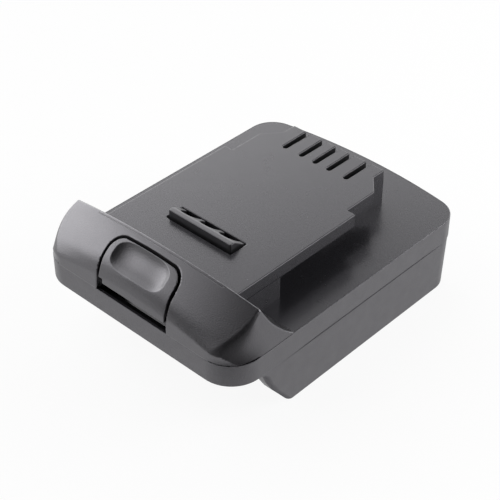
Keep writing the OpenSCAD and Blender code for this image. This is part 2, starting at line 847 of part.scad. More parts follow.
// A power lead: along the ceiling from a blade's tail, then up through the board
module power_lead(x) {
    start_y = blade_tail_y - blade_tail_l / 2;
    turn_y = lead_rise_y + lead_bend_r;
    translate([x, start_y, lead_z]) rotate([90, 0, 0]) cylinder(d = lead_d, h = start_y - turn_y);
    translate([x, turn_y, lead_z + lead_bend_r]) rotate([0, 90, 0]) rotate([0, 0, -90])
        rotate_extrude(angle = 90) translate([lead_bend_r, 0]) circle(d = lead_d);
    pin([x, lead_rise_y], lead_d, lead_z + lead_bend_r, z_board_top);
}

module lead_negative() {
    color("#18181a") power_lead(-power_x);
}

module lead_positive() {
    color("firebrick") power_lead(power_x);
}

// Pan-head screw standing head down, with a round drive in its head
module screw(at, face_z, d, length, hd, hh) {
    difference() {
        union() {
            pin(at, hd, face_z - hh, face_z);
            pin(at, d, face_z, face_z + length);
        }
        pin(at, d * drive_part, face_z - hh - over, face_z - hh / 2);
    }
}

module housing_screws() {
    color("silver") {
        for (at = dock_screws) screw(at, z_ceiling + head_recess, screw_d, screw_l, head_d, head_h);
        for (at = floor_screws) screw(at, z_band + head_recess, screw_d, screw_l, head_d, head_h);
    }
}

module board_screws() {
    color("silver") for (at = board_posts) translate([0, 0, z_board_top]) mirror([0, 0, 1])
        screw(at, 0, small_d, board_t + small_l, small_head_d, small_head_h);
}

module block_screws() {
    color("silver") for (sx = [-1, 1]) translate([0, 0, z_band]) mirror([0, 0, 1])
        screw([sx * block_screw_x, block_screw_y], 0, small_d, block_screw_l,
            small_head_d, small_head_h);
}

top_cover();
mid_frame();
dock();
release_button();
latch_bar();
latch_spring_left();
latch_spring_right();
contact_carrier();
clip_negative();
clip_signal_left();
clip_signal_middle();
clip_signal_right();
clip_positive();
circuit_board();
power_switch();
control_chip();
id_resistor();
capacitor();
terminal_block();
blade_negative();
blade_signal_left();
blade_signal_right();
blade_positive();
lead_negative();
lead_positive();
housing_screws();
board_screws();
block_screws();
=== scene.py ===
"""Looks of the slide-on battery adapter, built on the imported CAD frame.

Lengths in the shape helpers are millimetres in the CAD's own frame; pieces are stored in metres."""
import math

import bpy
import numpy as np
from mathutils import Matrix, Vector
from mathutils.geometry import tessellate_polygon


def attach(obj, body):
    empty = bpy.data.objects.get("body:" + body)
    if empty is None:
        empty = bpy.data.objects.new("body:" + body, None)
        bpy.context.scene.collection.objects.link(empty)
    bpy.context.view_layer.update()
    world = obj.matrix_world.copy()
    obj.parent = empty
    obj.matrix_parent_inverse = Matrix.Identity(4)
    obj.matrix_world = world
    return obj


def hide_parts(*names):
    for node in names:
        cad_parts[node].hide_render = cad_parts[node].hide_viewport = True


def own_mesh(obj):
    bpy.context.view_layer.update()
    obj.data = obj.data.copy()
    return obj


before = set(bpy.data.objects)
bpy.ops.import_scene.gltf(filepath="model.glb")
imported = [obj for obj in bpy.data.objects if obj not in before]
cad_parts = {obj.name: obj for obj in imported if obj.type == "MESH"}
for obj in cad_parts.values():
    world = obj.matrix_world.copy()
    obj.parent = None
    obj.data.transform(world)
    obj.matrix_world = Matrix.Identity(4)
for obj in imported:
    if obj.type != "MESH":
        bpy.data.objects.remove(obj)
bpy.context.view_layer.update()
MM = 0.001

# Sizes repeated from the part's source; only PLATE_Y1 lies 0.7 mm further back, as in the photograph
HALF_W, FRONT, REAR = 40.0, 52.5, 52.5
FRONT_R, REAR_R, BOW_R = 10.5, 9.0, 205.0
Z_CEIL, Z_BAND, Z_DECK, Z_PART = 16.3, 18.5, 24.2, 26.0
Z_CAVITY, Z_PLATE, LIP_T, WALL = 35.3, 37.5, 4.5, 2.2
BEND, RIM, ARC_R, CROWN_R = (-51.6, 35.3), (-40.5, 43.7), 32.0, 125.0
SIDE_LEAN = 0.24
LIP_X, NECK_X, NOSE_X = 26.7, 23.5, 18.5
PLATE_Y0, STOP_Y, LIP_END, NOSE_Y, NOSE_Y1, PLATE_Y1 = -37.5, -18.9, 13.7, 26.3, 32.3, 37.4
SLOT_X, SLOT_W, SLOT_Y, SLOT_Z = (-12.4, -5.6, 0.0, 5.6, 12.4), 1.8, 25.5, 29.5
OPEN_HALF, OPEN_REAR, OPEN_R, GAP = 14.2, -42.8, 5.0, 0.8
BUTTON_Z, WEB_Z, WEB_T = 29.1, 29.2, 2.0
POSTS = ((-9.0, -31.5), (9.0, -31.5))
DOCK_SCREWS = ((-28, -22.5), (28, -22.5), (-28, 41.5), (28, 41.5))
FLOOR_SCREWS = ((-26, -45.5), (26, -45.5))
BOARD_POSTS = ((-12.5, -5.5), (12.5, -5.5), (0.0, 19.5))
FRONT_C = (HALF_W - FRONT_R, FRONT_R - FRONT)
BOW_Y = REAR - BOW_R
REAR_C = (HALF_W - REAR_R, BOW_Y + math.sqrt((BOW_R - REAR_R) ** 2 - (HALF_W - REAR_R) ** 2))


# Mesh helpers

class Shape:
    """Vertices with their normals, and faces; make() turns every face to agree with its normals."""

    def __init__(self):
        self.co, self.no, self.faces = [], [], []

    def row(self, points, normals):
        start = len(self.co)
        self.co.extend(tuple(p) for p in points)
        self.no.extend(tuple(n) for n in normals)
        return list(range(start, len(self.co)))

    def strip(self, a, b, closed=True):
        for i in range(len(a) if closed else len(a) - 1):
            j = (i + 1) % len(a)
            self.faces.append((a[i], a[j], b[j], b[i]))

    def fill(self, rows):
        flat = [i for row in rows for i in row]
        for tri in tessellate_polygon([[Vector(self.co[i]) for i in row] for row in rows]):
            self.faces.append(tuple(flat[i] for i in tri))


def unit(v):
    return v / np.linalg.norm(v)


def rounded(points, radii, seg=4):
    """A counter-clockwise polygon with round corners: points and outward normals."""
    pts = [np.array(p, float) for p in points]
    if np.isscalar(radii):
        radii = [radii] * len(pts)
    out, nos = [], []
    for i, p in enumerate(pts):
        u, v = unit(p - pts[i - 1]), unit(pts[(i + 1) % len(pts)] - p)
        turn = math.atan2(u[0] * v[1] - u[1] * v[0], u @ v)
        side, r = math.copysign(1.0, turn), radii[i]
        n0 = np.array((u[1], -u[0]))
        centre = p - u * r * math.tan(abs(turn) / 2) - n0 * side * r
        for k in range(seg + 1):
            c, s = math.cos(turn * k / seg), math.sin(turn * k / seg)
            n = np.array((n0[0] * c - n0[1] * s, n0[0] * s + n0[1] * c))
            out.append(centre + n * side * r)
            nos.append(n)
    return np.array(out), np.array(nos)


def circle(at, r, n=40):
    a = np.linspace(0, 2 * math.pi, n, endpoint=False)
    nos = np.stack((np.cos(a), np.sin(a)), 1)
    return np.array(at) + r * nos, nos


def rect(x, y, r=0.3):
    return rounded([(x[0], y[0]), (x[1], y[0]), (x[1], y[1]), (x[0], y[1])], r)


def arc(centre, r, a0, a1, n):
    a = np.radians(np.linspace(a0, a1, n))
    nos = np.stack((np.cos(a), np.sin(a)), 1)
    return np.array(centre) + r * nos, nos


def outline(inset=0.0):
    """Plan of the body, drawn in by inset, counter-clockwise from the left of the front."""
    sweep_a = math.degrees(math.atan2(REAR_C[1] - BOW_Y, REAR_C[0]))
    parts = [arc((-FRONT_C[0], FRONT_C[1]), FRONT_R - inset, 180, 270, 17),
             arc(FRONT_C, FRONT_R - inset, 270, 360, 17),
             arc(REAR_C, REAR_R - inset, 0, sweep_a, 15),
             arc((0, BOW_Y), BOW_R - inset, sweep_a, 180 - sweep_a, 33),
             arc((-REAR_C[0], REAR_C[1]), REAR_R - inset, 180 - sweep_a, 180, 15)]
    keep = [slice(None), slice(None), slice(None), slice(1, -1), slice(None)]
    return tuple(np.concatenate([p[i][k] for p, k in zip(parts, keep)]) for i in (0, 1))


def upright(p):
    return p


def across(p):
    """Turns (y, z, x) into (x, y, z), for shapes that are extruded along X."""
    return np.stack((p[:, 2], p[:, 0], p[:, 1]), 1)


def prism(shape, outer, holes=(), z=(0, 1), r=(0.3, 0.3), place=upright, seg=4):
    """Extrudes an outline with rounded lower and upper edges; a radius of 0 leaves that edge sharp."""
    profile = []
    for level, radius, side in ((z[0], r[0], -1), (z[1], r[1], 1)):
        if not radius:
            profile.append((0, level, 1, 0))
            continue
        for a in np.radians(np.linspace(*((-90, 0) if side < 0 else (0, 90)), seg + 1)):
            c, s = math.cos(a), math.sin(a)
            profile.append((radius * (1 - c), level - side * radius + radius * s, c, s))
    loops = [outer] + [(p[::-1], -n[::-1]) for p, n in holes]
    lower, upper = [], []
    for pts, nos in loops:
        rows = []
        for inset, height, c, s in profile:
            p = np.column_stack((pts - nos * inset, np.full(len(pts), height)))
            n = np.column_stack((nos * c, np.full(len(pts), s)))
            rows.append(shape.row(place(p), place(n)))
        for a, b in zip(rows, rows[1:]):
            shape.strip(a, b)
        for end, row, sharp, up in ((lower, rows[0], not r[0], -1.0), (upper, rows[-1], not r[1], 1.0)):
            if sharp:
                n = place(np.tile((0.0, 0.0, up), (len(row), 1)))
                row = shape.row([shape.co[i] for i in row], n)
            end.append(row)
    shape.fill(lower)
    shape.fill(upper)
    return shape


def sweep(shape, section, path):
    """Carries a closed section of (inset, z) round a closed plan outline."""
    pts, nos = section
    rows = []
    for p, n in zip(*path):
        co = np.column_stack((p - np.outer(pts[:, 0], n), pts[:, 1]))
        no = np.column_stack((-np.outer(nos[:, 0], n), nos[:, 1]))
        rows.append(shape.row(co, no))
    for a, b in zip(rows, rows[1:] + rows[:1]):
        shape.strip(a, b)
    return shape


def tube(shape, line, radius, sides=12):
    """A round tube along a line of points, closed at both ends."""
    line = np.array(line, float)
    tangent = np.gradient(line, axis=0)
    tangent /= np.linalg.norm(tangent, axis=1)[:, None]
    side = np.cross(tangent, (0, 0, 1.0))
    side /= np.linalg.norm(side, axis=1)[:, None]
    up = np.cross(side, tangent)
    rows = []
    for p, s, u in zip(line, side, up):
        a = np.linspace(0, 2 * math.pi, sides, endpoint=False)
        n = np.outer(np.cos(a), s) + np.outer(np.sin(a), u)
        rows.append(shape.row(p + radius * n, n))
    for a, b in zip(rows, rows[1:]):
        shape.strip(a, b)
    for row, t in ((rows[0], -tangent[0]), (rows[-1], tangent[-1])):
        shape.fill([shape.row([shape.co[i] for i in row], [t] * sides)])
    return shape


def level_set(field, low, high, step):
    """Surface where field is 0, as a net of quads drawn onto the field, with its gradient as normals."""
    axes = [np.arange(a, b + step, step) for a, b in zip(low, high)]
    grid = np.meshgrid(*axes, indexing="ij")
    f = field(*grid)
    cells = tuple(n - 1 for n in f.shape)
    total, count = np.zeros(cells + (3,)), np.zeros(cells)
    crossings = []
    for ax in range(3):
        a = [slice(None)] * 3
        b = [slice(None)] * 3
        a[ax], b[ax] = slice(None, -1), slice(1, None)
        fa, fb = f[tuple(a)], f[tuple(b)]
        cross = (fa < 0) != (fb < 0)
        t = np.where(cross, fa / np.where(cross, fa - fb, 1), 0)
        where = [g[tuple(a)] for g in grid]
        where[ax] = where[ax] + t * step
        o1, o2 = [i for i in range(3) if i != ax]
        for d1 in (0, 1):
            for d2 in (0, 1):
                s = [slice(None)] * 3
                s[o1] = slice(d1, d1 + cells[o1])
                s[o2] = slice(d2, d2 + cells[o2])
                hit = cross[tuple(s)]
                count += hit
                for c in range(3):
                    total[..., c] += np.where(hit, where[c][tuple(s)], 0)
        crossings.append(cross)
    active = count > 0
    index = np.full(cells, -1)
    index[active] = np.arange(active.sum())
    p = total[active] / count[active][:, None]
    faces = []
    for ax, cross in enumerate(crossings):
        o1, o2 = [i for i in range(3) if i != ax]
        at = np.argwhere(cross)
        at = at[(at[:, o1] > 0) & (at[:, o2] > 0) & (at[:, o1] < cells[o1]) & (at[:, o2] < cells[o2])]
        quad = []
        for d1, d2 in ((1, 1), (0, 1), (0, 0), (1, 0)):
            q = at.copy()
            q[:, o1] -= d1
            q[:, o2] -= d2
            quad.append(index[tuple(q.T)])
        faces.append(np.stack(quad, 1))

    def slope(q, e=0.02):
        g = [field(*(q + d).T) - field(*(q - d).T) for d in np.eye(3) * e]
        return np.stack(g, 1) / (2 * e)

    for _ in range(4):
        g = slope(p)
        move = (field(*p.T) / np.maximum((g * g).sum(1), 0.1))[:, None] * g
        far = np.linalg.norm(move, axis=1)[:, None]
        p = p - move * np.minimum(1, 0.5 * step / np.maximum(far, 1e-9))
    g = slope(p)
    shape = Shape()
    shape.co = [tuple(v) for v in p]
    shape.no = [tuple(v) for v in g / np.maximum(np.linalg.norm(g, axis=1), 1e-6)[:, None]]
    shape.faces = [tuple(int(i) for i in q) for q in np.concatenate(faces)]
    return shape


def make(name, shape, material, body, nodes=(), marks=None):
    """Turns a shape into a piece that rides on a body and stands for CAD nodes.

    marks maps attribute names to fields of (x, y, z) that the material reads."""
    co, no = np.array(shape.co), np.array(shape.no)
    faces = []
    for f in shape.faces:
        v = co[list(f)]
        n = np.cross(v[1] - v[0], v[2] - v[0])
        if len(f) == 4:
            n = n + np.cross(v[2] - v[0], v[3] - v[0])
        faces.append(f if n @ no[list(f)].sum(0) >= 0 else f[::-1])
    mesh = bpy.data.meshes.new(name)
    mesh.from_pydata((co * MM).tolist(), [], faces)
    mesh.polygons.foreach_set("use_smooth", [True] * len(mesh.polygons))
    mesh.normals_split_custom_set_from_vertices(no.tolist())
    mesh.materials.append(material)
    for mark, field in (marks or {}).items():
        mesh.attributes.new(mark, "FLOAT", "POINT").data.foreach_set("value", field(*co.T))
    obj = bpy.data.objects.new(name, mesh)
    bpy.context.scene.collection.objects.link(obj)
    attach(obj, body)
    if nodes:
        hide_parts(*nodes)
    return obj


# Materials

GLOSS_TINT = (0.96, 0.94, 1.0, 1)
MOTTLE_SIZE, FLECK_SIZE, GLOSS_SIZE = 9.0, 0.4, 4.0
# The second value is painted shade: the share of the base colour left at the middle of the groove
GROOVE_DEPTH, GROOVE_PAINTED_SHADE = 0.15, 0.35


def material(name, colour, rough, metal=0.0, spread=0.06, grain=0.0, depth=0.0, fleck=0.0,
             rough_spread=0.05, spec=0.5, ior=1.5):
    """Principled surface with a mottled and flecked colour, uneven roughness and a fine grain.

    grain is the size of the grain and depth its height, both in millimetres."""
    mat = bpy.data.materials.new(name)
    mat.use_nodes = True
    nodes, links = mat.node_tree.nodes, mat.node_tree.links
    shader = nodes["Principled BSDF"]
    shader.inputs["Metallic"].default_value = metal
    shader.inputs["Specular IOR Level"].default_value = spec
    shader.inputs["IOR"].default_value = ior
    if not metal:
        shader.inputs["Specular Tint"].default_value = GLOSS_TINT
    place = nodes.new("ShaderNodeTexCoord")

    def noise(size, detail=2.0):
        n = nodes.new("ShaderNodeTexNoise")
        n.inputs["Scale"].default_value = 1 / (size * MM)
        n.inputs["Detail"].default_value = detail
        links.new(place.outputs["Object"], n.inputs["Vector"])
        return n

    def mapped(source, low, high):
        m = nodes.new("ShaderNodeMapRange")
        m.inputs["From Min"].default_value = 0.3
        m.inputs["From Max"].default_value = 0.7
        m.inputs["To Min"].default_value = low
        m.inputs["To Max"].default_value = high
        links.new(source, m.inputs["Value"])
        return m.outputs["Result"]

    mix = nodes.new("ShaderNodeMix")
    mix.data_type = "RGBA"
    mix.inputs["A"].default_value = (*(c * (1 - spread) for c in colour), 1)
    mix.inputs["B"].default_value = (*(min(1.0, c * (1 + spread)) for c in colour), 1)
    links.new(noise(MOTTLE_SIZE, 4.0).outputs["Fac"], mix.inputs["Factor"])
    fine = nodes.new("ShaderNodeMix")
    fine.data_type, fine.blend_type = "RGBA", "MULTIPLY"
    fine.inputs["Factor"].default_value = 1.0
    links.new(mix.outputs["Result"], fine.inputs["A"])
    links.new(mapped(noise(FLECK_SIZE, 1.0).outputs["Fac"], 1 - fleck, 1 + fleck), fine.inputs["B"])
    links.new(fine.outputs["Result"], shader.inputs["Base Color"])
    gloss = mapped(noise(GLOSS_SIZE, 3.0).outputs["Fac"], rough - rough_spread, rough + rough_spread)
    links.new(gloss, shader.inputs["Roughness"])
    if depth:
        bump = nodes.new("ShaderNodeBump")
        bump.inputs["Distance"].default_value = depth * MM
        links.new(noise(grain, 1.0).outputs["Fac"], bump.inputs["Height"])
        links.new(bump.outputs["Normal"], shader.inputs["Normal"])
    return mat


def groove_with_painted_shade(mat, mark, at, half):
    """Cuts a fine line into a material where a mark of the mesh, in millimetres, is near a value, and paints shade
    into the base colour along the line.
    """
    nodes, links = mat.node_tree.nodes, mat.node_tree.links
    shader, bump = nodes["Principled BSDF"], nodes["Bump"]
    value = nodes.new("ShaderNodeAttribute")
    value.attribute_name = mark
    away = nodes.new("ShaderNodeMath")
    away.operation = "SUBTRACT"
    away.inputs[1].default_value = at
    links.new(value.outputs["Fac"], away.inputs[0])
    size = nodes.new("ShaderNodeMath")
    size.operation = "ABSOLUTE"
    links.new(away.outputs[0], size.inputs[0])
    height = nodes.new("ShaderNodeMapRange")
    height.interpolation_type = "SMOOTHSTEP"
    height.inputs["From Max"].default_value = half
    links.new(size.outputs[0], height.inputs["Value"])
    cut = nodes.new("ShaderNodeBump")
    cut.inputs["Distance"].default_value = GROOVE_DEPTH * MM
    links.new(height.outputs["Result"], cut.inputs["Height"])
    links.new(bump.outputs["Normal"], cut.inputs["Normal"])
    links.new(cut.outputs["Normal"], shader.inputs["Normal"])
    # Painted shade: the base colour is multiplied down towards the middle of the groove
    painted_groove_shade = nodes.new("ShaderNodeMix")
    painted_groove_shade.data_type = "RGBA"
    painted_groove_shade.blend_type = "MULTIPLY"
    painted_groove_shade.inputs["Factor"].default_value = 1.0
    shade = nodes.new("ShaderNodeMapRange")
    shade.inputs["To Min"].default_value = GROOVE_PAINTED_SHADE
    links.new(height.outputs["Result"], shade.inputs["Value"])
    links.new(shader.inputs["Base Color"].links[0].from_socket, painted_groove_shade.inputs["A"])
    links.new(shade.outputs["Result"], painted_groove_shade.inputs["B"])
    links.new(painted_groove_shade.outputs["Result"], shader.inputs["Base Color"])


HOOD = material("hood_plastic", (0.020, 0.0195, 0.0215), 0.30,
                grain=0.38, depth=0.045, fleck=0.3, rough_spread=0.02, spec=1.0, ior=1.62)
# Groove behind the hood's rim, with painted shade along it
groove_with_painted_shade(HOOD, "rim", -0.9, 0.15)
BUTTON = material("button_plastic", (0.022, 0.0215, 0.0235), 0.34,
                  grain=0.4, depth=0.05, fleck=0.2, rough_spread=0.02, spec=1.0, ior=1.6)
BAND = material("band_plastic", (0.040, 0.039, 0.043), 0.42,
                grain=0.4, depth=0.05, fleck=0.15, rough_spread=0.03, spec=1.0, ior=1.55)
DECK = material("deck_plastic", (0.027, 0.0265, 0.030), 0.26,
                grain=0.35, depth=0.006, fleck=0.08, rough_spread=0.015, spec=0.66)
SKIRT = material("dock_plastic", (0.038, 0.037, 0.041), 0.44,
                 grain=0.4, depth=0.03, fleck=0.12, rough_spread=0.03, spec=1.0, ior=1.55)
LATCH = material("latch_plastic", (0.018, 0.018, 0.0195), 0.32, grain=0.4, depth=0.02, fleck=0.05, spec=0.9)
# Near-black, for the real insulating parts, and also painted shade on the slot sheet, the slot sill and the
# button's flange, where only shade falls
INSULATOR_AND_SHADE_BLACK = material("insulator", (0.009, 0.009, 0.010), 0.6, grain=0.4, depth=0.03, spec=0.25)
BRASS = material("brass", (0.80, 0.62, 0.32), 0.28, metal=1.0, grain=0.3, depth=0.004)
TIN = material("tin_plate", (0.36, 0.35, 0.34), 0.38, metal=1.0, grain=0.3, depth=0.004)
STEEL = material("zinc_steel", (0.60, 0.60, 0.62), 0.32, metal=1.0, grain=0.25, depth=0.004)
WIRE = material("spring_wire", (0.55, 0.55, 0.57), 0.3, metal=1.0, grain=0.2, depth=0.003)
BOARD = material("solder_mask", (0.015, 0.12, 0.05), 0.35, grain=1.2, depth=0.01)
EPOXY = material("epoxy_black", (0.02, 0.02, 0.022), 0.45, grain=0.3, depth=0.01)
LACQUER = material("resistor_lacquer", (0.50, 0.37, 0.22), 0.4, grain=0.5, depth=0.01)
SLEEVE = material("capacitor_sleeve", (0.025, 0.04, 0.11), 0.3, grain=0.8, depth=0.01)
LEAD_BLACK = material("lead_black", (0.016, 0.016, 0.018), 0.5, grain=0.4, depth=0.01)
LEAD_RED = material("lead_red", (0.42, 0.03, 0.025), 0.5, grain=0.4, depth=0.01)


# Hood and button: one field of distances

def round_max(a, b, r):
    """Intersection of two half spaces with a round edge."""
    return np.minimum(np.maximum(a + r, b + r), 0) + np.hypot(np.maximum(a + r, 0), np.maximum(b + r, 0)) - r


def smooth(t):
    t = np.clip(t, 0, 1)
    return t * t * (3 - 2 * t)


CHORD = np.array(RIM) - np.array(BEND)
CHORD_L = float(np.hypot(*CHORD))
ARC_C = (np.array(RIM) + np.array(BEND)) / 2 + math.sqrt(ARC_R ** 2 - CHORD_L ** 2 / 4) * np.array(
    (CHORD[1], -CHORD[0])) / CHORD_L
CROWN_Z = RIM[1] - CROWN_R
DISH_X, DISH_S, DISH_HALF_X, DISH_HALF_S, DISH_DEPTH = -0.6, 28.1, 10.6, 4.75, 1.8
DISH_POW_X, DISH_POW_S, DISH_SOFT = 4.2, 2.6, 0.003
# Edges of the hood: round between front and slope, which grows upwards, and corner round, which shrinks upwards
BEND_R, BEND_GROWTH, BEND_OVER = 0.4, 2.1, 7.0
CORNER_R_TOP, CORNER_FROM, CORNER_OVER = 0.6, -0.6, 13.1
BACK_R, BACK_SCALE = 0.45, 0.82
RIM_W, RIM_DROP, SEAM_R, DUCT_Y, OPEN_EDGE = 1.3, 0.7, 0.05, -41.9, 0.2
CAP_EDGE, CAP_FOOT_R, CAP_NOTCH, CAP_EXTRA = 0.22, 0.25, 1.5, 1.2
BACK_Z = (-3.0, 0.0, 1.2, 2.4, 3.4, 4.7, 6.2, 7.9, 9.6, 11.6, 15.0, 17.7, 20.0)
BACK_Y = (-24.5, -27.6, -29.4, -30.8, -31.8, -33.0, -34.3, -35.5, -36.5, -37.5, -39.2, -40.5, -41.5)


def crowned(x, z):
    return np.hypot(x, z - CROWN_Z) + CROWN_Z


def hood_back(x, y, z):
    """Distance to the S-shaped back of the hood."""
    return (y - np.interp(z - Z_PART, BACK_Z, BACK_Y)) * BACK_SCALE


def hood(x, y, z):
    """Distance to the hood's outer skin, open below."""
    zz, up = crowned(x, z), z - Z_PART
    lean = math.hypot(BEND[1] - Z_PART, BEND[0] + FRONT)
    front = ((y + FRONT) * (Z_PART - BEND[1]) + up * (BEND[0] + FRONT)) / lean
    slope = np.hypot(y - ARC_C[0], zz - ARC_C[1]) - ARC_R
    side = (np.abs(x) + SIDE_LEAN * up - HALF_W) / math.hypot(1, SIDE_LEAN)
    f = round_max(front, slope, BEND_R + BEND_GROWTH * smooth(up / BEND_OVER))
    corner = FRONT_R - (FRONT_R - CORNER_R_TOP) * smooth((up - CORNER_FROM) / CORNER_OVER)
    f = round_max(f, side, corner)
    return round_max(f, hood_back(x, y, z), BACK_R)


def opening(x, y):
    """Plan distance to the button's opening, negative inside it."""
    qx, qy = np.abs(x) - OPEN_HALF + OPEN_R, y - OPEN_REAR + OPEN_R
    return np.hypot(np.maximum(qx, 0), np.maximum(qy, 0)) + np.minimum(np.maximum(qx, qy), 0) - OPEN_R


def hood_shell(x, y, z):
    """Distance to the hood's wall, hollow below and open for the button."""
    skin = hood(x, y, z)
    qx, qy = np.abs(x) - FRONT_C[0], FRONT_C[1] - y
    rim = np.hypot(np.maximum(qx, 0), np.maximum(qy, 0)) + np.minimum(np.maximum(qx, qy), 0) - FRONT_R
    f = round_max(skin, Z_PART - np.where(rim > -RIM_W, 0.0, RIM_DROP) - z, SEAM_R)
    f = np.maximum(f, -(skin + WALL))
    duct = np.maximum(np.maximum(np.abs(x) - NECK_X + WALL, z - Z_CAVITY), DUCT_Y - y)
    f = np.maximum(f, -duct)
    return round_max(f, -opening(x, y), OPEN_EDGE)


def dish(x, y, z):
    """Depth of the finger recess, a soft oval on the curved face."""
    s = ARC_R * np.arctan2(crowned(x, z) - ARC_C[1], ARC_C[0] - y) - DISH_S
    d = 1 - (np.abs(s) / DISH_HALF_S) ** DISH_POW_S - (np.abs(x - DISH_X) / DISH_HALF_X) ** DISH_POW_X
    return DISH_DEPTH * 0.5 * (d + np.sqrt(d * d + DISH_SOFT))


def button_cap(x, y, z):
    """Distance to the button's cap, with its dish and the notch at its left foot."""
    skin = hood(x, y, z)
    f = skin + dish(x, y, z)
    f = round_max(f, opening(x, y) + GAP, CAP_EDGE)
    f = round_max(f, BUTTON_Z - z, CAP_FOOT_R)
    notch = np.maximum(x + OPEN_HALF - GAP - CAP_NOTCH, z - BUTTON_Z - CAP_NOTCH)
    f = np.maximum(f, -notch)
    return np.maximum(f, -(skin + WALL + CAP_EXTRA))


def rim_mark(x, y, z):
    """Distance from the hood's back, moved out of reach near the sides."""
    return hood_back(x, y, z) - 3 * np.maximum(np.abs(x) - 25, 0)


make("hood", level_set(hood_shell, (-40.6, -53.2, 24.9), (40.6, -26.0, 44.4), 0.4), HOOD, "housing",
     ("top_cover",), {"rim": rim_mark})
make("button_cap", level_set(button_cap, (-14.2, -53.0, 28.5), (14.2, -42.5, 44.4), 0.22), BUTTON, "release",
     ("release_button",))

# Inner web of the button, with its guides and the flange behind the band
web = Shape()
prism(web, rect((-12.5, 12.5), (-50.0, -18.0), 1.0), [circle(p, 2.3) for p in POSTS],
      (WEB_Z, WEB_Z + WEB_T), (0.2, 0.2))
for p in POSTS:
    prism(web, circle(p, 4.0), [circle(p, 2.3)], (WEB_Z + WEB_T, WEB_Z + WEB_T + 2), (0, 0.3))
for sx in (-1, 1):
    prism(web, rect(sorted((sx * 8.5, sx * 10.5)), (-49.0, -45.0), 0.2), (), (31.0, 34.5), (0, 0))
make("button_web", web, BUTTON, "release", ("release_button",))
# Painted shade: the button's flange behind the band takes the near-black colour instead of the button's, standing
# in for the shade in the slot below the button
shaded_flange = prism(Shape(), rect((-13.4, 13.4), (-48.0, -46.8), 0.3), (), (25.0, 31.0), (0.3, 0.2))
make("button_flange_shade_black", shaded_flange, INSULATOR_AND_SHADE_BLACK, "release", ("release_button",))

# Deck, with the plate's hollow left open
right_half = [(14, -51.5), (14, -49), (36, -49), (36, -36), (21.3, -36), (21.3, -21.1), (16.3, -21.1),
              (16.3, 34.5)]
hollow = rounded(right_half + [(-x, y) for x, y in reversed(right_half)], 0.5, 2)
make("deck", prism(Shape(), outline(0.31), [hollow], (Z_DECK, Z_PART - 0.05), (0.2, 0)), DECK, "housing",
     ("top_cover",))

# Tool plate: slotted top, lips, front stops and the core that carries them
plate = Shape()
top = [(LIP_X, PLATE_Y0), (LIP_X, LIP_END), (NECK_X, LIP_END), (NECK_X, NOSE_Y), (NOSE_X, NOSE_Y1),
       (NOSE_X, PLATE_Y1)]
top_r = [0.3, 0.35, 0.3, 0.5, 0.4, 0.35]
for sx in reversed(SLOT_X):
    for dx, end in ((0.5, 1), (0.5, 0), (-0.5, 0), (-0.5, 1)):
        top.append((sx + dx * SLOT_W, PLATE_Y1 if end else SLOT_Y))
        top_r.append(0.25 if end else SLOT_W / 2 - 0.01)
top += [(-x, y) for x, y in reversed(top[:6])]
top_r += top_r[5::-1]
window = rect((-13.0, 13.0), (-25.1, -18.4), 0.3)
prism(plate, rounded(top, top_r), [window], (Z_CAVITY, Z_PLATE), (0, 0.35))
under = [(NOSE_X - 1, PLATE_Y0), (LIP_X, PLATE_Y0), (LIP_X, LIP_END), (NECK_X, LIP_END), (NECK_X, NOSE_Y),
         (NOSE_X, NOSE_Y1), (NOSE_X - 1, NOSE_Y1)]
for side in (under, [(-x, y) for x, y in reversed(under)]):
    prism(plate, rounded(side, 0.3), (), (Z_PLATE - LIP_T, Z_CAVITY), (0.35, 0))
for sx in (-1, 1):
    prism(plate, rect(sorted((sx * (NOSE_X - 1), sx * LIP_X)), (PLATE_Y0, STOP_Y), 0.35), (),
          (Z_PART - 0.5, Z_PLATE - LIP_T + 0.5), (0, 0))


def u_wall(gap):
    """The core's wall as one outline, open at the front, and at the rear for |x| under gap."""
    right_out = [(NOSE_X, PLATE_Y0), (NOSE_X, PLATE_Y1)]
    right_in = [(NOSE_X - WALL, PLATE_Y0), (NOSE_X - WALL, PLATE_Y1 - WALL)]
    if gap:
        half = right_out + [(gap, PLATE_Y1), (gap, PLATE_Y1 - WALL)] + right_in[::-1]
        return [half, [(-x, y) for x, y in reversed(half)]]
    outside = right_out + [(-x, y) for x, y in reversed(right_out)]
    return [outside + [(-x, y) for x, y in right_in] + right_in[::-1]]


for loop in u_wall(0):
    prism(plate, rounded(loop, 0.2, 3), (), (Z_PART - 0.5, SLOT_Z), (0, 0))
edge = SLOT_X[-1] + SLOT_W / 2
for loop in u_wall(edge):
    prism(plate, rounded(loop, 0.2, 3), (), (SLOT_Z, Z_CAVITY), (0, 0))
for a, b in zip(SLOT_X, SLOT_X[1:]):
    prism(plate, rect((a + SLOT_W / 2, b - SLOT_W / 2), (PLATE_Y1 - WALL, PLATE_Y1), 0.2), (),
          (SLOT_Z, Z_CAVITY), (0, 0))
make("tool_plate", plate, DECK, "housing", ("top_cover",))

# Painted shade: a near-black sheet along the walls of the contact slots, open at the rear, standing in for the
# shade inside them
slot_shade = Shape()
out_r, in_r, shade_end = SLOT_W / 2 - 0.01, SLOT_W / 2 - 0.12, PLATE_Y1 - 0.5
for sx in SLOT_X:
    loop = [(sx - out_r, shade_end), (sx - out_r, SLOT_Y), (sx + out_r, SLOT_Y), (sx + out_r, shade_end),
            (sx + in_r, shade_end), (sx + in_r, SLOT_Y + 0.11), (sx - in_r, SLOT_Y + 0.11), (sx - in_r, shade_end)]
    radii = [0.03, out_r - 0.01, out_r - 0.01, 0.03, 0.03, in_r - 0.01, in_r - 0.01, 0.03]
    prism(slot_shade, rounded(loop, radii), (), (SLOT_Z + 0.5, Z_PLATE - 0.4), (0, 0))
make("slot_shade_sheet", slot_shade, INSULATOR_AND_SHADE_BLACK, "housing", ("top_cover",))

